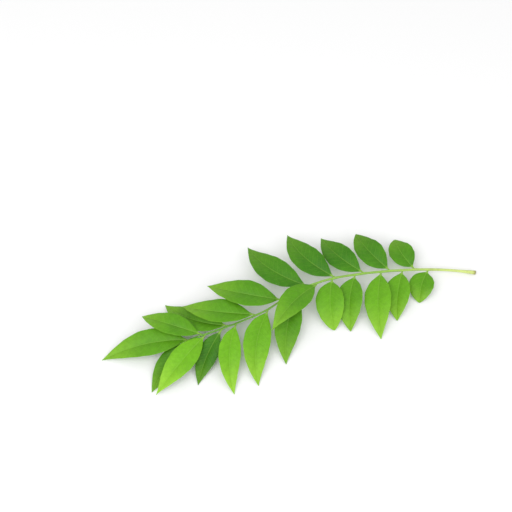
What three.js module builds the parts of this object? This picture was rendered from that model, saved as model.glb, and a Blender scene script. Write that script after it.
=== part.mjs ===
// Curry leaf sprig: one compound leaf lying on a table, cut end at +X, last leaflet at -X.
// Millimetres, +Z up, origin at the bottom centre of the whole sprig.
import * as THREE from 'three';

// ---- driving dimensions ----
const RACHIS_RADIUS_CUT = 0.85;      // near the cut end
const RACHIS_RADIUS_TIP = 0.45;      // where the last leaflet sits
const PULVINUS_SWELL = 0.4;          // extra radius of the swollen foot of the stalk
const PULVINUS_LENGTH = 6;
const JOINT_GAP = 0.35;              // clear space between the stalk and a leaflet's foot

const PETIOLULE_RADIUS = 0.45;       // short stalk of each leaflet
const PETIOLULE_LENGTH = 1.8;
const BLADE_THICKNESS = 0.5;
const TABLE_SOFTNESS = 0.5;          // how gently a blade flattens where it meets the table

const RINGS = 20;                    // steps along a leaflet
const SIDES = 12;                    // steps around a leaflet and around the stalk
const RACHIS_STEPS = 44;

// Route of the stalk's centre line, from the cut end to the last leaflet.
const RACHIS_ROUTE = [
  [119, -17, RACHIS_RADIUS_CUT + PULVINUS_SWELL],
  [100, -11, 4.2],
  [80, -6.5, 7],
  [50, -2, 10],
  [24, -0.5, 12],
  [3, -3.5, 13],
  [-21, -11.5, 13],
  [-44, -14.5, 12],
  [-70, -15, 9.5],
].map((point) => new THREE.Vector3(...point));

// One row for each leaflet, from the cut end outwards.
// from: distance from the cut end along the stalk      long, wide: size of the blade
// form: 0 for a round blade, 1 for one that is drawn out at its foot and its tip
// spread: angle away from the stalk, towards its tip   tipZ: height of the leaflet's tip
// arch: how far the middle rises above a straight line  bow: how far it bulges towards the sprig's tip
// roll: twist about the midrib, positive lifts the edge nearer the sprig's tip
// fold: angle that each half of the blade rises from the midrib
const LEFT_LEAFLETS = [
  { from: 31, long: 22, wide: 16, form: 0.1, spread: 68, tipZ: 0, arch: 3, bow: 2, roll: -8, fold: 8 },
  { from: 48, long: 33, wide: 16, form: 0.4, spread: 74, tipZ: 0, arch: 3, bow: 2, roll: -12, fold: 9 },
  { from: 62, long: 44, wide: 17, form: 0.6, spread: 78, tipZ: 0, arch: 5, bow: 3, roll: -12, fold: 10 },
  { from: 79, long: 36, wide: 17, form: 0.4, spread: 72, tipZ: 0, arch: 5, bow: 3, roll: -14, fold: 9 },
  { from: 94, long: 32, wide: 18, form: 0.1, spread: 74, tipZ: 0, arch: 5, bow: 3, roll: -12, fold: 9 },
  { from: 103, long: 44, wide: 17, form: 0.9, spread: 28, tipZ: 14, arch: 6, bow: 2, roll: 4, fold: 10 },
  { from: 118, long: 46, wide: 17, form: 0.6, spread: 50, tipZ: 0, arch: 2, bow: 4, roll: 6, fold: 10 },
  { from: 141, long: 47, wide: 17, form: 0.6, spread: 49, tipZ: 0, arch: 3, bow: 6, roll: 8, fold: 12 },
  { from: 163, long: 43, wide: 14, form: 0.6, spread: 67, tipZ: 0, arch: 3, bow: 5, roll: 10, fold: 14 },
  { from: 172, long: 36, wide: 13, form: 0.6, spread: 47, tipZ: 0, arch: -1, bow: 3, roll: 4, fold: 8 },
  { from: 182, long: 46, wide: 16, form: 0.8, spread: 34, tipZ: 2, arch: 4, bow: 0, roll: 8, fold: 10 },
  { from: 194, long: 37, wide: 14, form: 0.6, spread: 37, tipZ: 0, arch: -2, bow: 3, roll: 0, fold: 10 },
];
const RIGHT_LEAFLETS = [
  { from: 40, long: 25, wide: 16, form: 0.2, spread: 72, tipZ: 6, arch: 3, bow: 3, roll: -8, fold: 8 },
  { from: 56, long: 34, wide: 17, form: 0.4, spread: 64, tipZ: 8, arch: 4, bow: 4, roll: -9, fold: 9 },
  { from: 73, long: 38, wide: 17, form: 0.7, spread: 60, tipZ: 7, arch: 4, bow: 5, roll: -10, fold: 9 },
  { from: 92, long: 45, wide: 18, form: 0.8, spread: 67, tipZ: 8, arch: 4, bow: 7, roll: -10, fold: 10 },
  { from: 111, long: 50, wide: 18, form: 0.8, spread: 70, tipZ: 6, arch: 4, bow: 8, roll: -9, fold: 10 },
  { from: 130, long: 47, wide: 19, form: 0.8, spread: 54, tipZ: 9, arch: 8, bow: 6, roll: 0, fold: 10 },
  { from: 149, long: 46, wide: 18, form: 0.7, spread: 40, tipZ: 6, arch: 6, bow: 5, roll: 4, fold: 10 },
  { from: 168, long: 46, wide: 17, form: 0.6, spread: 51, tipZ: 0, arch: 2, bow: 6, roll: -2, fold: 10 },
  { from: 184, long: 40, wide: 15, form: 0.6, spread: 40, tipZ: 6, arch: 8, bow: 4, roll: 0, fold: 10 },
];
const TERMINAL_LEAFLET = {
  long: 54, wide: 18, form: 0.7, spread: -9, tipZ: 0, arch: 3, bow: 4, roll: 6, fold: 10,
};

// Outline of a blade, as powers of the distance from its foot and from its tip.
const FOOT_POWER_ROUND = 0.6;
const FOOT_POWER_DRAWN = 1.0;
const TIP_POWER_ROUND = 0.8;
const TIP_POWER_DRAWN = 1.5;

// Where the two handles of a midrib's curve lie along it, and how much of the bow each one takes.
const EARLY_HANDLE = 0.35;
const LATE_HANDLE = 0.7;
const LATE_BOW = 0.9;

const FLAT_AFTER = 2.5;              // petiolule lengths from the foot to the full flat blade
const FOOT_ROUNDING = 4;             // how fast the petiolule grows to its radius at the foot
const POLE_SIZE = 1e-6;              // a ring smaller than this is a closed end

const LEAF_DEEP = new THREE.Color(0x2f7d1f);
const LEAF_FRESH = new THREE.Color(0x6fb52c);
const STALK_GREEN = new THREE.Color(0x8fb04a);

const DEGREE = Math.PI / 180;
const UP = new THREE.Vector3(0, 0, 1);

// ---- materials ----
function leafMaterial(freshness) {
  const color = LEAF_DEEP.clone().lerp(LEAF_FRESH, freshness);
  return new THREE.MeshStandardMaterial({ color, roughness: 0.5, metalness: 0 });
}

function stalkMaterial() {
  return new THREE.MeshStandardMaterial({ color: STALK_GREEN, roughness: 0.55, metalness: 0 });
}

// ---- stalk ----
const rachisCurve = new THREE.CatmullRomCurve3(RACHIS_ROUTE, false, 'centripetal');
const rachisLength = rachisCurve.getLength();

// Radius of the stalk at a distance from its cut end.
function rachisRadius(distance) {
  const taper = THREE.MathUtils.lerp(RACHIS_RADIUS_CUT, RACHIS_RADIUS_TIP, distance / rachisLength);
  return taper + PULVINUS_SWELL * Math.exp(-((distance / PULVINUS_LENGTH) ** 2));
}

// Point and directions of the stalk at a distance from its cut end.
function rachisFrame(distance) {
  const share = THREE.MathUtils.clamp(distance / rachisLength, 0, 1);
  const point = rachisCurve.getPointAt(share);
  const along = rachisCurve.getTangentAt(share);
  const left = new THREE.Vector3().crossVectors(UP, along).normalize();
  const over = new THREE.Vector3().crossVectors(along, left);
  return { point, along, left, over };
}

// A cylinder bent along the stalk's route.
function makeRachis() {
  const geometry = new THREE.CylinderGeometry(1, 1, 1, SIDES, RACHIS_STEPS);
  const corners = geometry.attributes.position;
  for (let i = 0; i < corners.count; i += 1) {
    const distance = (0.5 - corners.getY(i)) * rachisLength;
    const { point, left, over } = rachisFrame(distance);
    const radius = rachisRadius(distance);
    point.addScaledVector(left, corners.getX(i) * radius);
    point.addScaledVector(over, corners.getZ(i) * radius);
    corners.setXYZ(i, point.x, point.y, point.z);
  }
  const mesh = new THREE.Mesh(geometry, stalkMaterial());
  mesh.name = 'rachis';
  return mesh;
}

// ---- leaflets ----
// Half width of a blade at a share of its length, 1 at the widest place.
function outline(share, form) {
  const footPower = THREE.MathUtils.lerp(FOOT_POWER_ROUND, FOOT_POWER_DRAWN, form);
  const tipPower = THREE.MathUtils.lerp(TIP_POWER_ROUND, TIP_POWER_DRAWN, form);
  const widest = footPower / (footPower + tipPower);
  const peak = widest ** footPower * (1 - widest) ** tipPower;
  return share ** footPower * (1 - share) ** tipPower / peak;
}

// Height kept clear of the table, easing in where a blade comes down on it.
function restOnTable(height) {
  const lowest = BLADE_THICKNESS / 2;
  const above = height - lowest;
  return lowest + (above + Math.hypot(above, TABLE_SOFTNESS)) / 2;
}

// Midrib of a leaflet as one smooth curve from its foot to its tip.
// side is 1 to the left of the stalk's own direction, -1 to the right.
function midribCurve(leaflet, foot, heading, side) {
  const drop = foot.z - leaflet.tipZ;
  const tip = foot.clone().addScaledVector(heading, Math.sqrt(leaflet.long ** 2 - drop ** 2));
  tip.z = leaflet.tipZ;
  const sideways = new THREE.Vector3().crossVectors(heading, UP).multiplyScalar(side * leaflet.bow);
  const early = foot.clone().lerp(tip, EARLY_HANDLE).add(sideways);
  const late = foot.clone().lerp(tip, LATE_HANDLE).addScaledVector(sideways, LATE_BOW);
  early.z += leaflet.arch;
  late.z += leaflet.arch;
  return new THREE.CubicBezierCurve3(foot, early, late, tip);
}

// Where a corner of the unit ball goes on a leaflet. The ball's Y axis becomes the midrib, its X
// axis points across the blade to the edge nearer the sprig's tip, and its Z axis goes through it.
function leafletPoint(leaflet, midrib, tipSide, ball) {
  const share = THREE.MathUtils.clamp((1 - ball.y) / 2, 0, 1);
  const point = midrib.getPointAt(share);
  const ring = Math.hypot(ball.x, ball.z);
  if (ring < POLE_SIZE) {
    point.z = restOnTable(point.z);
    return point;
  }
  const stalkShare = PETIOLULE_LENGTH / leaflet.long;
  const bladeShare = Math.max((share - stalkShare) / (1 - stalkShare), 0);
  const flatness = THREE.MathUtils.smoothstep(share, 0, stalkShare * FLAT_AFTER);
  const stalk = PETIOLULE_RADIUS * Math.min(ring * FOOT_ROUNDING, 1);
  const blade = outline(bladeShare, leaflet.form) * leaflet.wide / 2;
  const halfWidth = Math.max(blade, stalk * (1 - bladeShare));
  const halfThickness = THREE.MathUtils.lerp(stalk, BLADE_THICKNESS / 2, flatness);

  const along = midrib.getTangentAt(share);
  const toTip = new THREE.Vector3().crossVectors(UP, along).normalize().multiplyScalar(tipSide);
  const over = new THREE.Vector3().crossVectors(along, toTip).multiplyScalar(tipSide);
  const twist = leaflet.roll * DEGREE * flatness;
  const rise = Math.tan(leaflet.fold * DEGREE) * flatness;
  const edge = toTip.clone().multiplyScalar(Math.cos(twist)).addScaledVector(over, Math.sin(twist));
  const lift = over.clone().multiplyScalar(Math.cos(twist)).addScaledVector(toTip, -Math.sin(twist));

  const across = ball.x / ring;
  const through = ball.z / ring;
  point.addScaledVector(edge, across * halfWidth);
  point.addScaledVector(lift, Math.abs(across) * halfWidth * rise);
  point.z = restOnTable(point.z);
  return point.addScaledVector(lift, through * halfThickness * tipSide);
}

// Closed body of a leaflet: a ball whose poles become the foot and the tip.
function makeLeaflet(name, leaflet, midrib, tipSide, freshness) {
  const geometry = new THREE.SphereGeometry(1, SIDES, RINGS);
  const corners = geometry.attributes.position;
  const ball = new THREE.Vector3();
  for (let i = 0; i < corners.count; i += 1) {
    ball.fromBufferAttribute(corners, i);
    const point = leafletPoint(leaflet, midrib, tipSide, ball);
    corners.setXYZ(i, point.x, point.y, point.z);
  }
  const mesh = new THREE.Mesh(geometry, leafMaterial(freshness));
  mesh.name = name;
  return mesh;
}

// A leaflet on one side of the stalk. side is 1 on the left of the stalk's direction.
function makeSideLeaflet(name, leaflet, side) {
  const { point, along, left } = rachisFrame(leaflet.from);
  const spread = leaflet.spread * DEGREE;
  const outward = left.clone().multiplyScalar(side);
  const level = new THREE.Vector3(along.x, along.y, 0).normalize();
  const heading = level.multiplyScalar(Math.cos(spread)).addScaledVector(outward, Math.sin(spread));
  const skew = PETIOLULE_RADIUS * Math.cos(spread);
  const clear = (rachisRadius(leaflet.from) + JOINT_GAP + skew) / Math.sin(spread);
  const foot = point.addScaledVector(heading, clear);
  const midrib = midribCurve(leaflet, foot, heading, side);
  return makeLeaflet(name, leaflet, midrib, -side, leaflet.from / rachisLength);
}

// The last leaflet goes on from the end of the stalk, and bows to the right.
function makeTerminalLeaflet(leaflet) {
  const { point, along, left } = rachisFrame(rachisLength);
  const spread = leaflet.spread * DEGREE;
  const heading = new THREE.Vector3(along.x, along.y, 0).normalize();
  heading.multiplyScalar(Math.cos(spread)).addScaledVector(left, Math.sin(spread));
  const foot = point.addScaledVector(along, JOINT_GAP);
  const midrib = midribCurve(leaflet, foot, heading, 1);
  return makeLeaflet('leaflet_terminal', leaflet, midrib, -1, 1);
}

// ---- the sprig ----
function makeSprig() {
  const pieces = new THREE.Group();
  pieces.add(makeRachis());
  const sides = [['left', LEFT_LEAFLETS, 1], ['right', RIGHT_LEAFLETS, -1]];
  for (const [word, leaflets, side] of sides) {
    leaflets.forEach((leaflet, index) => {
      const number = String(index + 1).padStart(2, '0');
      pieces.add(makeSideLeaflet(`leaflet_${word}_${number}`, leaflet, side));
    });
  }
  pieces.add(makeTerminalLeaflet(TERMINAL_LEAFLET));

  const box = new THREE.Box3().setFromObject(pieces);
  const middle = box.getCenter(new THREE.Vector3());
  pieces.position.set(-middle.x, -middle.y, -box.min.z);
  const sprig = new THREE.Group();
  sprig.add(pieces);
  return sprig;
}

export default makeSprig();
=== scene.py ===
"""Curry leaf sprig: fine leaflets and stalk built over the CAD frame, on a pale floor in soft light."""

import math

import bpy
import numpy as np
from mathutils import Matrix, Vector


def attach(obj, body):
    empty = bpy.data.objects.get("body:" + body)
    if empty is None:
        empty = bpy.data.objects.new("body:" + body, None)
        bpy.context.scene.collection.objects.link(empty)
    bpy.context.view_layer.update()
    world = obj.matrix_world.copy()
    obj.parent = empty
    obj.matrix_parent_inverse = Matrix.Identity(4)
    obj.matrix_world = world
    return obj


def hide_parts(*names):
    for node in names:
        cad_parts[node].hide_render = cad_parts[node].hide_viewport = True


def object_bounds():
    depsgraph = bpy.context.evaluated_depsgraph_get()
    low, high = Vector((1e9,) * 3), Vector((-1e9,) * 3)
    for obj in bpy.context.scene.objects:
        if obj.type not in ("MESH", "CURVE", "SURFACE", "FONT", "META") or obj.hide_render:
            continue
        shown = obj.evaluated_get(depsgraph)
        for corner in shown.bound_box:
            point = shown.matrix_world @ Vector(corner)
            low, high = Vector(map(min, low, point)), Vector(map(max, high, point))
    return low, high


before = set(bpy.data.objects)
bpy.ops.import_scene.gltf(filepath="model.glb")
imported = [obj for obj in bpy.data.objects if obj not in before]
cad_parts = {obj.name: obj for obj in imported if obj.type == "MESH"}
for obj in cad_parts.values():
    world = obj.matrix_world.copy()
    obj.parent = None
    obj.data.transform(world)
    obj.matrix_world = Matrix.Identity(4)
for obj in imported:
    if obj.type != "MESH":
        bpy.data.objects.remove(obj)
cad_low, cad_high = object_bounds()

MM = 0.001
CORNER_DECIMALS = 6           # corners of a solid that agree to this many decimals are one
SHORTEST = 1e-12              # least length that a vector is divided by
TINY = 1e-9                   # keeps a direction defined where its vector shrinks to nothing
UP = np.array([0.0, 0.0, 1.0])

# ---- camera, light and floor ----
CAMERA_AZIMUTH = -17.5        # degrees, 0 looks along +Y
CAMERA_ELEVATION = 55.0
CAMERA_DISTANCE = 0.78
CAMERA_LENS = 85.0
CAMERA_CLIP_START = 0.01
AIM_ASIDE = -0.0085           # the view's middle, from the middle of the sprig's box
AIM_BEYOND = 0.0442

LIGHTS = {                    # watts, then azimuth and elevation in degrees
    "key": (7.5, -50.0, 55.0),
    "front": (4.0, 20.0, 35.0),
}
LIGHT_SIZE = 0.9
LIGHT_DISTANCE = 1.3
WORLD_STRENGTH = 0.8

FLOOR_HALF_WIDTH = 6.0
FLOOR_COLOUR = (0.88, 0.88, 0.88, 1.0)
FLOOR_ROUGHNESS = 0.75
FLOOR_SPECULAR = 0.2

# ---- leaflets ----
PETIOLULE_RADIUS = 0.42 * MM
PETIOLULE_LENGTH = 1.8 * MM
FLAT_FROM = 0.3               # share of the short stalk after which it starts to flatten
BLADE_EASE = 2.2 * MM         # length of blade before its section is quite flat
ROOT_STEPS = 2                # how many stalk steps before its foot a leaflet starts, inside the stalk
BLADE_THICKNESS = 0.34 * MM
SLIMMING = 0.45               # share of the thickness lost from the foot to the tip
RIM_POWER = 16                # how late towards its margin a blade thins out
TIP_RADIUS = 0.25 * MM
TIP_FADE = 3 * TIP_RADIUS     # how soon before the tip its least width stops counting
JOIN_POWER = 3                # how closely a blade keeps to the larger of its own width and its least one
MIDRIB_GROOVE = 0.13 * MM     # depth above, where the groove is deepest
MIDRIB_RIDGE = 0.36 * MM      # height below, at the foot
RIDGE_FADE = 0.8              # share of that height lost towards the tip
MIDRIB_WIDTH = 0.42 * MM
CAMBER = 0.07                 # arch of each half of the blade, as a share of its width
WAVE_LEAST = 0.02             # sway of a margin, as a share of the half width
WAVE_SPREAD = 0.035           # how much more it can be
WAVE_COUNT = 1.6              # sways along a margin, and up to one more
WAVE_START = 0.12             # share of the length where the sway starts
WAVE_FULL = 0.4               # and where it is whole
RIPPLE = 0.012                # unevenness of a margin, as a share of the half width
RIPPLE_TURN = 38.0            # how fast it comes and goes, in radians for the whole length
VEIN_SPACING = 3.6 * MM
VEIN_LEAN = 0.62              # how far a side vein runs forward for each step outwards
VEIN_CURVE = 22.0             # forward sweep of a side vein near the margin, per metre
VEIN_STAGGER = 0.5            # how far the two halves' side veins are out of step, in spacings
QUILTING = 0.045 * MM         # swell of the blade between two side veins
FLOOR_CLEARANCE = 0.03 * MM
STEPS_ALONG = 116
STEPS_HALF = 18               # from the midrib to a margin
END_PACKING = 0.7             # how much closer the steps lie at the foot and at the tip
CHANCE_SEED = 7

# How fresh and yellow each leaflet is, from 0, deep green, to 1, bright yellow-green, with painted light
# and shade in it:
# the far-side leaflets and leaflet_left_10, which lie in shade, are set deeper, and those the light falls
# on are set brighter.
FRESHNESS_AND_SHADE = {
    "leaflet_left_01": 0.40, "leaflet_left_02": 0.50, "leaflet_left_03": 0.60,
    "leaflet_left_04": 0.35, "leaflet_left_05": 0.50, "leaflet_left_06": 0.35,
    "leaflet_left_07": 0.28, "leaflet_left_08": 0.65, "leaflet_left_09": 0.78,
    "leaflet_left_10": 0.00, "leaflet_left_11": 0.80, "leaflet_left_12": 0.20,
    "leaflet_right_01": 0.15, "leaflet_right_02": 0.05, "leaflet_right_03": 0.00,
    "leaflet_right_04": 0.00, "leaflet_right_05": 0.02, "leaflet_right_06": 0.33,
    "leaflet_right_07": 0.35, "leaflet_right_08": 0.25, "leaflet_right_09": 0.35,
    "leaflet_terminal": 0.42,
}

# ---- stalk ----
RACHIS_STEPS = 300
RACHIS_SIDES = 32
CHANNEL_DEPTH = 0.14          # of the channel along the top, as a share of the radius
CHANNEL_WIDTH = 0.42          # half of its spread, in radians
CHANNEL_START = 10 * MM       # where it begins, from the cut end
CHANNEL_FULL = 30 * MM        # and where it has its full depth
CUSHION_SWELL = 0.22 * MM     # raised cushion under each leaflet's foot
CUSHION_REACH = 1.5 * MM
CUSHION_TAIL = 2.2            # how much further it runs down the stalk than up
END_HOLLOW = 0.25 * MM        # how far the cut face sinks in its middle
FACE_RINGS = [(0.35, 1.0), (0.75, 0.4)]    # rings of the cut face: share of the radius, of the hollow

# ---- looks that leaves and stalk share ----
NOISE_SPAN = (0.3, 0.7)       # the noise values that count as low and as high
GRAIN_SHADES = (0.92, 1.08)   # brightness of a fine grain where it is low and where it is high

# ---- looks of a leaf ----
DEEP_LEAF = (0.036, 0.185, 0.005, 1.0)
BRIGHT_LEAF = (0.212, 0.560, 0.014, 1.0)
# The colour below is painted light: the glow painted on the leaf tips and the highlight painted along the
# margins.
PAINTED_LIGHT_LEAF = (0.430, 0.740, 0.060, 1.0)
RIB_LEAF = (0.330, 0.600, 0.090, 1.0)
UNDER_LEAF = (0.200, 0.400, 0.090, 1.0)
LEAF_GLOW = (1.25, 1.15, 0.60, 1.0)
THROUGH_SHARE = 0.15          # how much of the light goes through a blade

MOTTLE_SCALE = 45.0           # of the patches of colour, per metre
DEEP_PATCH = 0.85             # freshness of the deeper patches, as a share of the leaflet's
FRESH_PATCH = 0.14            # freshness of the brighter patches of a leaflet that has none
TIP_GLOW_SPAN = (0.35, 1.05)       # share of the blade over which a painted glow turns it yellower
TIP_GLOW_SHARE = 0.18              # how yellow the painted glow makes a deep leaflet's tip
TIP_GLOW_FRESH_SHARE = 0.50        # how much more a bright one's is
RIM_HIGHLIGHT_FROM = 0.95               # share of the half width where the painted highlight along the margin starts
GRAIN_SCALE = 420.0
NET_SCALE = 750.0             # of the fine net of veins, per metre
NET_WIDTH = 0.10              # of its lines, as a share of a cell
NET_SLOPE = 0.12              # the same for its relief
FOOT_SPAN = (-0.01, 0.03)     # share of the blade over which the short stalk's green ends

SIDE_VEIN = 0.075             # half width of a side vein, in vein spacings
SIDE_VEIN_SPAN = (0.55, 0.98)  # share of the half width over which it fades out
THIN_VEIN = 0.045             # the same for the thin veins between them
THIN_VEIN_SPAN = (0.3, 0.8)
THIN_VEIN_STRENGTH = 0.45     # against a side vein's
VEINS_FULL = 0.06             # share of the blade where the side veins have come up
RIB_WIDTHS = (0.38, 0.10)     # half width of the pale midrib at the foot and at the tip, in mm
RIB_EDGE = (0.5, 1.2)         # where it fades out, in its half widths

# Strength of the painted highlight along the margin, then how pale the net, the side veins and the rib
# are.
RIM_HIGHLIGHT = 0.20
NET_PALENESS = 0.07
VEIN_PALENESS = 0.14
RIB_PALENESS = 0.28
UNDER_DULLNESS = 0.62
UNDER_EDGE = (0.4, 0.6)       # where the upper side's relief turns into the underside's
RIB_RELIEF = 0.5              # against a side vein's
VEIN_BUMP = (0.08 * MM, 0.7)  # depth, and how strongly it shows
NET_BUMP = (0.02 * MM, 0.5)
GRAIN_BUMP = (0.03 * MM, 0.4)
LEAF_ROUGHNESS = (0.40, 0.52)
UNDER_ROUGHNESS = 0.18        # how much rougher the underside is
LEAF_SPECULAR = 0.22

# ---- looks of the stalk ----
STALK_PALE = (0.560, 0.660, 0.200, 1.0)
STALK_GREEN = (0.260, 0.480, 0.070, 1.0)
STALK_TIP = (0.120, 0.340, 0.030, 1.0)
STALK_BROWN = (0.180, 0.120, 0.050, 1.0)
CUT_PALE = (0.560, 0.520, 0.300, 1.0)
CUT_BROWN = (0.200, 0.130, 0.060, 1.0)

PALE_SPAN = (0.02, 0.35)      # share of the stalk over which it turns from pale to green
DEEP_SPAN = (0.4, 1.0)        # and from green to its tip's deeper green
STALK_MOTTLE_SCALE = 90.0
BROWN_SPAN = (0.54, 0.74)     # the noise values over which a brown patch comes up
BROWN_REACH = 0.25            # share of the stalk over which the patches get weaker
BROWN_SHARES = (0.6, 0.12)    # their strength at the cut end and after that reach
CUT_RIM = 0.012               # share of the stalk that the cut has browned
CUT_RIM_SHARE = 0.7
STALK_GRAIN_SCALE = 900.0
FIBRE_SCALE = 3.2             # across the stalk
FIBRE_DRAW = 0.06             # along it, per mm
FIBRE_SPAN = (0.35, 0.65)
FIBRE_SHADES = (0.88, 1.08)
PORE_SCALE = 2600.0           # of the fibre ends on the cut face, per metre
PORE_SPAN = (0.1, 0.6)
FIBRE_BUMP = (0.06 * MM, 0.6)
STALK_GRAIN_BUMP = (0.04 * MM, 0.5)
STALK_ROUGHNESS = (0.42, 0.58)
STALK_SPECULAR = 0.3


# ---- reading the CAD solids ----
def welded(node):
    """Corners of a node's solid without repeats, and each corner's neighbours."""
    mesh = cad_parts[node].data
    corners = np.array([vertex.co[:] for vertex in mesh.vertices])
    rounded = np.round(corners, CORNER_DECIMALS)
    _, first, place = np.unique(rounded, axis=0, return_index=True, return_inverse=True)
    place = place.reshape(-1)
    neighbours = [set() for _ in first]
    for polygon in mesh.polygons:
        ids = [place[index] for index in polygon.vertices]
        for one, other in zip(ids, ids[1:] + ids[:1]):
            neighbours[one].add(other)
            neighbours[other].add(one)
    return corners[first], neighbours


def rings_between_poles(points, neighbours, far_from_start):
    """The solid's corners as rings, from the pole where far_from_start is least to the other one."""
    by_degree = sorted(range(len(points)), key=lambda index: len(neighbours[index]))
    poles = by_degree[-2:]
    start = min(poles, key=lambda index: far_from_start(points[index]))
    seen = {start}
    ring = [start]
    rings = []
    while ring:
        rings.append(points[ring])
        ring = sorted({other for index in ring for other in neighbours[index]} - seen)
        seen.update(ring)
    return rings


def smooth(knots, values, places):
    """Values at some places of a smooth curve through the knots."""
    slopes = np.gradient(values, knots, axis=0)
    cell = np.clip(np.searchsorted(knots, places, side="right") - 1, 0, len(knots) - 2)
    width = knots[cell + 1] - knots[cell]
    x = (places - knots[cell]) / width
    if values.ndim > 1:
        x = x[:, None]
        width = width[:, None]
    back = 1 - x
    return ((1 + 2 * x) * back**2 * values[cell] + x * back**2 * width * slopes[cell]
            + x**2 * (3 - 2 * x) * values[cell + 1] - x**2 * back * width * slopes[cell + 1])


def softened(values):
    """Values along a line with each one pulled towards its neighbours. Both ends stay."""
    inside = (values[:-2] + 2 * values[1:-1] + values[2:]) / 4
    return np.concatenate([values[:1], inside, values[-1:]])


def unit(vectors):
    return vectors / np.maximum(np.linalg.norm(vectors, axis=-1, keepdims=True), SHORTEST)


def ease(values, low, high):
    """0 up to low, 1 from high on, and a smooth rise between them."""
    x = np.clip((values - low) / (high - low), 0.0, 1.0)
    return x * x * (3 - 2 * x)


def lengths_along(points):
    steps = np.linalg.norm(np.diff(points, axis=0), axis=1)
    return np.concatenate([[0.0], np.cumsum(steps)])


def stalk_line():
    """Centre line of the stalk from its cut end, with its radius and its length up to each knot."""
    points, neighbours = welded("rachis")
    rings = rings_between_poles(points, neighbours, lambda point: -point[0])[1:-1]
    centres = np.array([ring.mean(axis=0) for ring in rings])
    radii = np.array([np.linalg.norm(ring - ring.mean(axis=0), axis=1).mean() for ring in rings])
    return centres, radii, lengths_along(centres)


def leaflet_lines(node):
    """Left margin, midrib and right margin of a leaflet's solid, from its foot to its tip."""
    points, neighbours = welded(node)
    rings = rings_between_poles(points, neighbours, distance_to_stalk)
    widest = max(rings, key=lambda ring: np.ptp(ring, axis=0).max())
    spans = np.linalg.norm(widest[:, None] - widest[None], axis=2)
    one, other = np.unravel_index(spans.argmax(), spans.shape)
    across = widest[other] - widest[one]
    forward = rings[-1][0] - rings[0][0]
    if np.cross(forward, across)[2] < 0:
        across = -across

    def split(ring):
        ordered = ring[np.argsort(ring @ across)]
        middle = len(ordered) // 2
        return ordered[0], ordered[middle - 1:middle + 1].mean(axis=0), ordered[-1]

    lines = np.array([[ring[0]] * 3 if len(ring) == 1 else split(ring) for ring in rings])
    return lines[:, 0], lines[:, 1], lines[:, 2]


KNOT_CENTRES, KNOT_RADII, KNOT_PLACES = stalk_line()
STALK_PLACES = np.linspace(0.0, KNOT_PLACES[-1], RACHIS_STEPS)
STALK_CENTRES = smooth(KNOT_PLACES, KNOT_CENTRES, STALK_PLACES)
STALK_RADII = smooth(KNOT_PLACES, KNOT_RADII, STALK_PLACES)


def nearest_step(point):
    return np.linalg.norm(STALK_CENTRES - point, axis=1).argmin()


def distance_to_stalk(point):
    return np.linalg.norm(STALK_CENTRES - point, axis=1).min()


# ---- meshes ----
def linked(name, data):
    """A new object, in the scene."""
    thing = bpy.data.objects.new(name, data)
    bpy.context.scene.collection.objects.link(thing)
    return thing


def closed_tube(name, sections, first_cap, last_cap):
    """Closed mesh from rings of points with a cap corner at each end."""
    count, around, _ = sections.shape
    corners = np.concatenate([sections.reshape(-1, 3), [first_cap, last_cap]])
    row = np.arange(around)
    following = (row + 1) % around
    faces = []
    for step in range(count - 1):
        near = step * around
        far = near + around
        faces += list(zip(near + row, near + following, far + following, far + row))
    first, last = count * around, count * around + 1
    end = (count - 1) * around
    faces += list(zip([first] * around, following, row))
    faces += list(zip([last] * around, end + row, end + following))
    mesh = bpy.data.meshes.new(name)
    mesh.from_pydata(corners.tolist(), [], [[int(i) for i in face] for face in faces])
    mesh.polygons.foreach_set("use_smooth", [True] * len(mesh.polygons))
    mesh.update()
    return linked(name, mesh)


def store(piece, name, values, first_cap, last_cap):
    """Keeps one number for each corner, for the material to read."""
    layer = piece.data.attributes.new(name, "FLOAT", "POINT")
    layer.data.foreach_set("value", np.concatenate([values.reshape(-1), [first_cap, last_cap]]))


# ---- leaflets ----
def steps_across():
    """Steps from one margin, -1, to the other, 1, closer together at the midrib and the margins."""
    half = (1 - np.cos(math.pi * np.linspace(0.0, 1.0, STEPS_HALF + 1))) / 2
    return np.concatenate([-half[:0:-1], half])


ACROSS = steps_across()
OUTWARDS = np.abs(ACROSS)
SIDE = (ACROSS > 0).astype(int)
SIGN = np.where(ACROSS < 0, -1.0, 1.0)


class Course:
    """Where a leaflet runs, from inside the stalk to its tip."""

    def __init__(self, node):
        lines = leaflet_lines(node)
        self.foot = lines[1][0]
        root = STALK_CENTRES[max(nearest_step(self.foot) - ROOT_STEPS, 0)]
        left, midrib, right = [np.concatenate([[root], line]) for line in lines]
        knots = lengths_along(midrib)
        self.length = knots[-1]
        x = np.linspace(0.0, 1.0, STEPS_ALONG)
        self.places = self.length * (x - END_PACKING * np.sin(2 * math.pi * x) / (2 * math.pi))
        self.share = self.places / self.length
        self.middle = smooth(knots, midrib, self.places)
        self.along = unit(np.gradient(self.middle, self.places, axis=0))
        reaches = [softened(softened(line - midrib)) for line in (left, right)]
        self.reaches = [smooth(knots, reach, self.places) for reach in reaches]

        # How flat the section is, from 0 in the short stalk to 1 in the blade.
        self.blade_start = knots[1] + PETIOLULE_LENGTH
        flat_start = knots[1] + FLAT_FROM * PETIOLULE_LENGTH
        self.flat = ease(self.places, flat_start, self.blade_start + BLADE_EASE)


def rounded_tip(room):
    """Least half width of a blade at some lengths before its tip, so that the tip is blunt."""
    x = np.minimum(room / TIP_RADIUS, 1.0)
    fade = np.exp(-np.maximum(room - TIP_RADIUS, 0.0) / TIP_FADE)
    return TIP_RADIUS * np.sqrt(1 - (1 - x) ** 2) * fade


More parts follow.
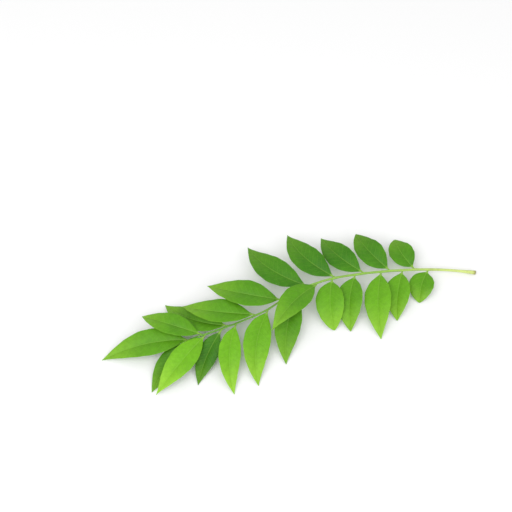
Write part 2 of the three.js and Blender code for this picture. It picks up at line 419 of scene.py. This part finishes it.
def blade_spread(course):
    """Directions to the margin, the CAD blade's half widths, those with a blunt tip and a round
    stalk, and directions up from the blade."""
    flat = course.flat[:, None]
    left, right = course.reaches
    level = unit(np.cross(UP, course.along))
    sideways = unit(unit(right) - unit(left) + TINY * level)
    sideways = unit(sideways * flat + level * (1 - flat))
    over = unit(np.cross(course.along, sideways))[:, None]
    outward = sideways[:, None] * SIGN[None, :, None]

    reach = np.stack(course.reaches, axis=1)[:, SIDE]
    wide = np.linalg.norm(reach, axis=2)
    tip = rounded_tip(course.length - course.places)
    least = np.maximum(tip, PETIOLULE_RADIUS * (1 - course.flat))[:, None]
    half_width = (wide**JOIN_POWER + least**JOIN_POWER) ** (1 / JOIN_POWER)
    towards = unit(reach) * flat[:, None] + outward * (1 - flat[:, None])
    return unit(towards + TINY * outward), wide, half_width, over


def blade_relief(course, wide, off, chance):
    """Lift of the blade, unevenness of its margins, and the side vein each corner is at."""
    share = course.share[:, None]
    flat = course.flat[:, None]
    ahead = VEIN_LEAN * off + VEIN_CURVE * off**2
    vein = (course.places[:, None] - course.blade_start - ahead) / VEIN_SPACING + VEIN_STAGGER * SIDE
    swell = QUILTING * np.cos(2 * math.pi * vein) * np.sin(math.pi * OUTWARDS)

    wave_count = WAVE_COUNT + chance.random()
    wave_phase = 2 * math.pi * chance.random(2)[SIDE]
    wave_size = (WAVE_LEAST + WAVE_SPREAD * chance.random()) * ease(share, WAVE_START, WAVE_FULL)
    wave = wave_size * wide * np.sin(2 * math.pi * wave_count * share + wave_phase) * OUTWARDS**2
    lift = (CAMBER * wide * 4 * OUTWARDS * (1 - OUTWARDS) + swell + wave) * flat

    ripple_phase = 2 * math.pi * chance.random(2)[SIDE]
    ripple = 1 + RIPPLE * np.sin(RIPPLE_TURN * share + ripple_phase) * OUTWARDS**4 * flat
    return lift, ripple, vein


def blade_thickness(course, off):
    """Thickness above and below: round in the stalk, grooved over the midrib and ridged under it."""
    share = course.share[:, None]
    flat = course.flat[:, None]
    rib = np.exp(-((off / MIDRIB_WIDTH) ** 2))
    rim = np.sqrt(np.maximum(1 - OUTWARDS**RIM_POWER, 0.0))
    slim = 1 - SLIMMING * share
    blade = BLADE_THICKNESS / 2 * rim * slim
    stalk = PETIOLULE_RADIUS * np.sqrt(np.maximum(1 - OUTWARDS**2, 0.0)) * (1 - flat)
    groove = MIDRIB_GROOVE * rib * slim * rim
    ridge = MIDRIB_RIDGE * rib * (1 - RIDGE_FADE * share) * rim
    return (blade - groove) * flat + stalk, (blade + ridge) * flat + stalk


def make_leaflet(node, chance):
    """A leaflet over its CAD solid, with its veins and places stored. Returns it and its foot."""
    course = Course(node)
    towards, wide, half_width, over = blade_spread(course)
    off = OUTWARDS * half_width
    lift, ripple, vein = blade_relief(course, wide, off, chance)
    above, below = blade_thickness(course, off)
    place = course.middle[:, None] + towards * (off * ripple)[:, :, None] + over * lift[:, :, None]
    lowest = cad_low[2] + FLOOR_CLEARANCE
    place[:, :, 2] = np.maximum(place[:, :, 2], lowest + BLADE_THICKNESS / 2)
    top = place + over * above[:, :, None]
    under = place - over * below[:, :, None]
    under[:, :, 2] = np.maximum(under[:, :, 2], lowest)

    # Once round each section: over the top from one margin to the other, then back underneath.
    last = len(ACROSS) - 1
    columns = np.concatenate([np.arange(last), np.arange(last, 0, -1)])
    is_under = np.arange(2 * last) >= last
    sections = np.where(is_under[None, :, None], under[:, columns], top[:, columns])[:-1]
    piece = closed_tube(f"{node}_leaf", sections, course.middle[0], course.middle[-1])

    rows = len(sections)
    lowness = np.where(columns % last == 0, 0.5, is_under)
    blade_share = (course.places - course.blade_start) / (course.length - course.blade_start)
    store(piece, "along", np.repeat(blade_share[:-1], len(columns)), blade_share[0], 1.0)
    store(piece, "across", np.tile(ACROSS[columns], rows), 0.0, 0.0)
    store(piece, "under", np.tile(lowness, rows), 0.5, 0.5)
    store(piece, "off", off[:-1, columns] / MM, 0.0, 0.0)
    store(piece, "vein", vein[:-1, columns], vein[0, 0], vein[-1, 0])
    return piece, course.foot


# ---- stalk ----
def make_stalk(feet):
    """The stalk, with a channel along its top, a cushion at each leaflet and a hollow cut face."""
    along = unit(np.gradient(STALK_CENTRES, STALK_PLACES, axis=0))
    left = unit(np.cross(UP, along))
    over = np.cross(along, left)
    turn = 2 * math.pi * np.arange(RACHIS_SIDES) / RACHIS_SIDES
    outward = left[:, None] * np.cos(turn)[:, None] + over[:, None] * np.sin(turn)[:, None]

    from_top = np.abs(turn - math.pi / 2)
    from_top = np.minimum(from_top, 2 * math.pi - from_top)
    channel = CHANNEL_DEPTH * np.exp(-((from_top / CHANNEL_WIDTH) ** 2))
    size = STALK_RADII[:, None] * (1 - channel * ease(STALK_PLACES, CHANNEL_START, CHANNEL_FULL)[:, None])
    for foot in feet:
        step = nearest_step(foot)
        facing = np.clip(outward @ unit(foot - STALK_CENTRES[step]), 0.0, 1.0) ** 2
        distance = (STALK_PLACES - STALK_PLACES[step]) / CUSHION_REACH
        fade = np.exp(-np.where(distance < 0, distance / CUSHION_TAIL, distance) ** 2)
        size = size + CUSHION_SWELL * fade[:, None] * facing
    sections = STALK_CENTRES[:, None] + outward * size[:, :, None]

    # The cut face: more rings, which go in and down to its hollow middle.
    rim = sections[0] - STALK_CENTRES[0]
    hollow = along[0] * END_HOLLOW
    face = [STALK_CENTRES[0] + rim * radius + hollow * depth for radius, depth in FACE_RINGS]
    sections = np.concatenate([face, sections])
    piece = closed_tube("rachis_stalk", sections, STALK_CENTRES[0] + hollow, STALK_CENTRES[-1])
    face_corners = len(FACE_RINGS) * RACHIS_SIDES
    for polygon in piece.data.polygons:
        if min(polygon.vertices) < face_corners:
            polygon.use_smooth = False

    lengths = np.concatenate([np.zeros(len(FACE_RINGS)), STALK_PLACES])
    on_face = np.concatenate([np.ones(len(FACE_RINGS)), np.zeros(RACHIS_STEPS)])
    total = STALK_PLACES[-1]
    store(piece, "along", np.repeat(lengths / total, RACHIS_SIDES), 0.0, 1.0)
    store(piece, "length", np.repeat(lengths / MM, RACHIS_SIDES), 0.0, total / MM)
    store(piece, "cut", np.repeat(on_face, RACHIS_SIDES), 1.0, 0.0)
    store(piece, "turn_cos", np.tile(np.cos(turn), len(sections)), 0.0, 0.0)
    store(piece, "turn_sin", np.tile(np.sin(turn), len(sections)), 0.0, 0.0)
    return piece


# ---- materials ----
class Nodes:
    """Short calls for building a material's node tree."""

    def __init__(self, name):
        self.material = bpy.data.materials.new(name)
        self.material.use_nodes = True
        self.tree = self.material.node_tree
        self.tree.nodes.clear()

    def add(self, kind, **settings):
        node = self.tree.nodes.new(kind)
        for key, value in settings.items():
            setattr(node, key, value)
        return node

    def put(self, socket, value):
        if isinstance(value, bpy.types.NodeSocket):
            self.tree.links.new(value, socket)
        else:
            socket.default_value = value

    def attribute(self, name):
        return self.add("ShaderNodeAttribute", attribute_name=name).outputs["Fac"]

    def math(self, operation, *values):
        node = self.add("ShaderNodeMath", operation=operation)
        for socket, value in zip(node.inputs, values):
            self.put(socket, value)
        return node.outputs[0]

    def span(self, value, low, high, start=0.0, end=1.0):
        """A number as it goes smoothly from start to end while value goes from low to high."""
        node = self.add("ShaderNodeMapRange", interpolation_type="SMOOTHSTEP")
        for socket, setting in zip(node.inputs, (value, low, high, start, end)):
            self.put(socket, setting)
        return node.outputs[0]

    def mix(self, share, one, other, blend="MIX"):
        node = self.add("ShaderNodeMix", data_type="RGBA", blend_type=blend)
        self.put(node.inputs[0], share)
        self.put(node.inputs[6], one)
        self.put(node.inputs[7], other)
        return node.outputs[2]

    def place(self):
        return self.add("ShaderNodeTexCoord").outputs["Object"]

    def noise(self, scale, detail, roughness, place=None):
        node = self.add("ShaderNodeTexNoise")
        node.inputs["Scale"].default_value = scale
        node.inputs["Detail"].default_value = detail
        node.inputs["Roughness"].default_value = roughness
        self.put(node.inputs["Vector"], place or self.place())
        return node.outputs["Fac"]

    def cells(self, scale, feature):
        node = self.add("ShaderNodeTexVoronoi", feature=feature)
        node.inputs["Scale"].default_value = scale
        self.put(node.inputs["Vector"], self.place())
        return node.outputs["Distance"]

    def bump(self, height, distance, strength, normal=None):
        node = self.add("ShaderNodeBump")
        node.inputs["Strength"].default_value = strength
        node.inputs["Distance"].default_value = distance
        self.put(node.inputs["Height"], height)
        if normal is not None:
            self.put(node.inputs["Normal"], normal)
        return node.outputs[0]

    def surface(self, colour, roughness, specular, normal=None):
        node = self.add("ShaderNodeBsdfPrincipled")
        self.put(node.inputs["Base Color"], colour)
        self.put(node.inputs["Roughness"], roughness)
        self.put(node.inputs["Specular IOR Level"], specular)
        if normal is not None:
            self.put(node.inputs["Normal"], normal)
        return node.outputs[0]

    def finish(self, shader):
        out = self.add("ShaderNodeOutputMaterial")
        self.tree.links.new(shader, out.inputs[0])
        return self.material


def blended(dark, bright, share):
    return [a + (b - a) * share for a, b in zip(dark, bright)]


def leaf_veins(n, along, across, off, vein):
    """How strongly the side veins and the midrib show, from 0 to 1."""
    whole = n.math("ABSOLUTE", n.math("SUBTRACT", n.math("FRACT", n.math("ADD", vein, 0.5)), 0.5))
    between = n.math("ABSOLUTE", n.math("SUBTRACT", n.math("FRACT", vein), 0.5))
    main = n.span(whole, 0.0, SIDE_VEIN, 1.0, 0.0)
    main = n.math("MULTIPLY", main, n.span(across, *SIDE_VEIN_SPAN, 1.0, 0.0))
    thin = n.span(between, 0.0, THIN_VEIN, THIN_VEIN_STRENGTH, 0.0)
    thin = n.math("MULTIPLY", thin, n.span(across, *THIN_VEIN_SPAN, 1.0, 0.0))
    veins = n.math("MULTIPLY", n.math("MAXIMUM", main, thin), n.span(along, 0.0, VEINS_FULL))
    rib_width = n.span(along, 0.0, 1.0, *RIB_WIDTHS)
    rib = n.span(n.math("DIVIDE", off, rib_width), *RIB_EDGE, 1.0, 0.0)
    return veins, rib


def leaf_material(node, freshness_and_shade):
    """Waxy green leaf: veins, paler rib, mottling, a painted highlight along the margin, a painted glow
    that yellows the tip, and a duller underside.
    """
    n = Nodes(f"{node}_green")
    along = n.attribute("along")
    across = n.math("ABSOLUTE", n.attribute("across"))
    under = n.attribute("under")
    veins, rib = leaf_veins(n, along, across, n.attribute("off"), n.attribute("vein"))

    # Colour: a deep-to-bright base partly set by painted light and shade, mottled, with a painted glow
    # towards the tip and a painted highlight at the margin.
    deep = blended(DEEP_LEAF, BRIGHT_LEAF, freshness_and_shade * DEEP_PATCH)
    fresh = blended(DEEP_LEAF, BRIGHT_LEAF, FRESH_PATCH + freshness_and_shade * (1 - FRESH_PATCH))
    mottle = n.noise(MOTTLE_SCALE, detail=2.0, roughness=0.55)
    grain = n.noise(GRAIN_SCALE, detail=4.0, roughness=0.65)
    net = n.cells(NET_SCALE, "DISTANCE_TO_EDGE")
    colour = n.mix(n.span(mottle, *NOISE_SPAN), deep, fresh)
    # Painted glow: the blade turns yellower towards its tip, more so on brighter leaflets.
    tip_glow_share = n.math("MULTIPLY", n.span(along, *TIP_GLOW_SPAN), TIP_GLOW_SHARE + TIP_GLOW_FRESH_SHARE * freshness_and_shade)
    colour = n.mix(tip_glow_share, colour, PAINTED_LIGHT_LEAF)
    # Painted highlight: a thin paler band along each margin.
    rim_highlight_share = n.math("MULTIPLY", n.span(across, RIM_HIGHLIGHT_FROM, 1.0), RIM_HIGHLIGHT)
    colour = n.mix(rim_highlight_share, colour, PAINTED_LIGHT_LEAF)
    colour = n.mix(1.0, colour, n.span(grain, *NOISE_SPAN, *GRAIN_SHADES), blend="MULTIPLY")
    colour = n.mix(n.span(net, 0.0, NET_WIDTH, NET_PALENESS, 0.0), colour, RIB_LEAF)
    colour = n.mix(n.math("MULTIPLY", veins, VEIN_PALENESS), colour, RIB_LEAF)
    colour = n.mix(n.math("MULTIPLY", rib, RIB_PALENESS), colour, RIB_LEAF)
    colour = n.mix(n.span(along, *FOOT_SPAN, 1.0, 0.0), colour, STALK_GREEN)
    colour = n.mix(under, colour, n.mix(UNDER_DULLNESS, colour, UNDER_LEAF))

    # Relief: sunken veins above, raised below, a fine net and a slightly uneven skin.
    sink = n.span(under, *UNDER_EDGE, -1.0, 1.0)
    height = n.math("MULTIPLY", n.math("ADD", veins, n.math("MULTIPLY", rib, RIB_RELIEF)), sink)
    normal = n.bump(height, *VEIN_BUMP)
    normal = n.bump(n.span(net, 0.0, NET_SLOPE), *NET_BUMP, normal)
    normal = n.bump(grain, *GRAIN_BUMP, normal)

    above = n.span(mottle, *NOISE_SPAN, *LEAF_ROUGHNESS)
    roughness = n.math("ADD", above, n.math("MULTIPLY", under, UNDER_ROUGHNESS))
    through = n.add("ShaderNodeBsdfTranslucent")
    n.put(through.inputs["Color"], n.mix(1.0, colour, LEAF_GLOW, blend="MULTIPLY"))
    n.put(through.inputs["Normal"], normal)
    both = n.add("ShaderNodeMixShader")
    n.put(both.inputs[0], THROUGH_SHARE)
    n.put(both.inputs[1], n.surface(colour, roughness, LEAF_SPECULAR, normal))
    n.put(both.inputs[2], through.outputs[0])
    return n.finish(both.outputs[0])


def stalk_material():
    """Smooth green stalk, paler and browner towards the cut end, with a fibrous cut face."""
    n = Nodes("stalk_green")
    along = n.attribute("along")
    mottle = n.noise(STALK_MOTTLE_SCALE, detail=3.0, roughness=0.55)
    grain = n.noise(STALK_GRAIN_SCALE, detail=4.0, roughness=0.7)

    # Fibres: noise drawn out along the stalk.
    round_place = n.add("ShaderNodeCombineXYZ")
    n.put(round_place.inputs[0], n.attribute("turn_cos"))
    n.put(round_place.inputs[1], n.attribute("turn_sin"))
    n.put(round_place.inputs[2], n.math("MULTIPLY", n.attribute("length"), FIBRE_DRAW))
    fibre = n.noise(FIBRE_SCALE, detail=3.0, roughness=0.6, place=round_place.outputs[0])

    colour = n.mix(n.span(along, *PALE_SPAN), STALK_PALE, STALK_GREEN)
    colour = n.mix(n.span(along, *DEEP_SPAN), colour, STALK_TIP)
    patches = n.span(mottle, *BROWN_SPAN)
    brown_share = n.math("MULTIPLY", patches, n.span(along, 0.0, BROWN_REACH, *BROWN_SHARES))
    colour = n.mix(brown_share, colour, STALK_BROWN)
    colour = n.mix(n.span(along, 0.0, CUT_RIM, CUT_RIM_SHARE, 0.0), colour, STALK_BROWN)
    colour = n.mix(1.0, colour, n.span(fibre, *FIBRE_SPAN, *FIBRE_SHADES), blend="MULTIPLY")
    colour = n.mix(1.0, colour, n.span(grain, *NOISE_SPAN, *GRAIN_SHADES), blend="MULTIPLY")
    face = n.mix(n.span(n.cells(PORE_SCALE, "F1"), *PORE_SPAN), CUT_PALE, CUT_BROWN)
    colour = n.mix(n.attribute("cut"), colour, face)

    normal = n.bump(fibre, *FIBRE_BUMP)
    normal = n.bump(grain, *STALK_GRAIN_BUMP, normal)
    roughness = n.span(mottle, *NOISE_SPAN, *STALK_ROUGHNESS)
    return n.finish(n.surface(colour, roughness, STALK_SPECULAR, normal))


def floor_material():
    n = Nodes("floor_pale")
    return n.finish(n.surface(FLOOR_COLOUR, FLOOR_ROUGHNESS, FLOOR_SPECULAR))


# ---- floor, light and camera ----
def make_floor():
    wide = FLOOR_HALF_WIDTH
    corners = [(-wide, -wide, 0), (wide, -wide, 0), (wide, wide, 0), (-wide, wide, 0)]
    mesh = bpy.data.meshes.new("floor")
    mesh.from_pydata(corners, [], [(0, 1, 2, 3)])
    floor = linked("floor", mesh)
    floor.location.z = cad_low[2]
    floor.data.materials.append(floor_material())


def direction_from_sprig(azimuth, elevation):
    """Where something stands, as seen from the sprig. Azimuth 0 is in front of it, at -Y."""
    turn, tilt = math.radians(azimuth), math.radians(elevation)
    return Vector((math.sin(turn) * math.cos(tilt), -math.cos(turn) * math.cos(tilt), math.sin(tilt)))


def make_light(name, power, azimuth, elevation):
    """A soft square light that faces the sprig."""
    light = bpy.data.lights.new(name, "AREA")
    light.energy = power
    light.shape = "SQUARE"
    light.size = LIGHT_SIZE
    back = direction_from_sprig(azimuth, elevation)
    lamp = linked(name, light)
    lamp.location = back * LIGHT_DISTANCE
    lamp.rotation_euler = back.to_track_quat("Z", "Y").to_euler()


def make_world():
    world = bpy.data.worlds.new("studio")
    world.use_nodes = True
    background = world.node_tree.nodes["Background"]
    background.inputs[0].default_value = (1.0, 1.0, 1.0, 1.0)
    background.inputs[1].default_value = WORLD_STRENGTH
    bpy.context.scene.world = world
    bpy.context.scene.view_settings.view_transform = "Standard"


def make_camera():
    back = direction_from_sprig(CAMERA_AZIMUTH, CAMERA_ELEVATION)
    middle = Vector(((cad_low[0] + cad_high[0]) / 2, (cad_low[1] + cad_high[1]) / 2, cad_low[2]))
    aim = middle + Vector((AIM_ASIDE, AIM_BEYOND, 0.0))
    data = bpy.data.cameras.new("camera")
    data.lens = CAMERA_LENS
    data.clip_start = CAMERA_CLIP_START
    camera = linked("camera", data)
    camera.location = aim + back * CAMERA_DISTANCE
    camera.rotation_euler = back.to_track_quat("Z", "Y").to_euler()
    bpy.context.scene.camera = camera


make_camera()
make_world()
make_floor()
for name, (power, azimuth, elevation) in LIGHTS.items():
    make_light(name, power, azimuth, elevation)

# ---- the sprig ----
chance = np.random.default_rng(CHANCE_SEED)
leaflet_feet = []
for node in sorted(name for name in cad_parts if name.startswith("leaflet_")):
    leaf, foot = make_leaflet(node, chance)
    leaf.data.materials.append(leaf_material(node, FRESHNESS_AND_SHADE[node]))
    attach(leaf, "root")
    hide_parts(node)
    leaflet_feet.append(foot)

stalk = make_stalk(leaflet_feet)
stalk.data.materials.append(stalk_material())
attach(stalk, "root")
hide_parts("rachis")
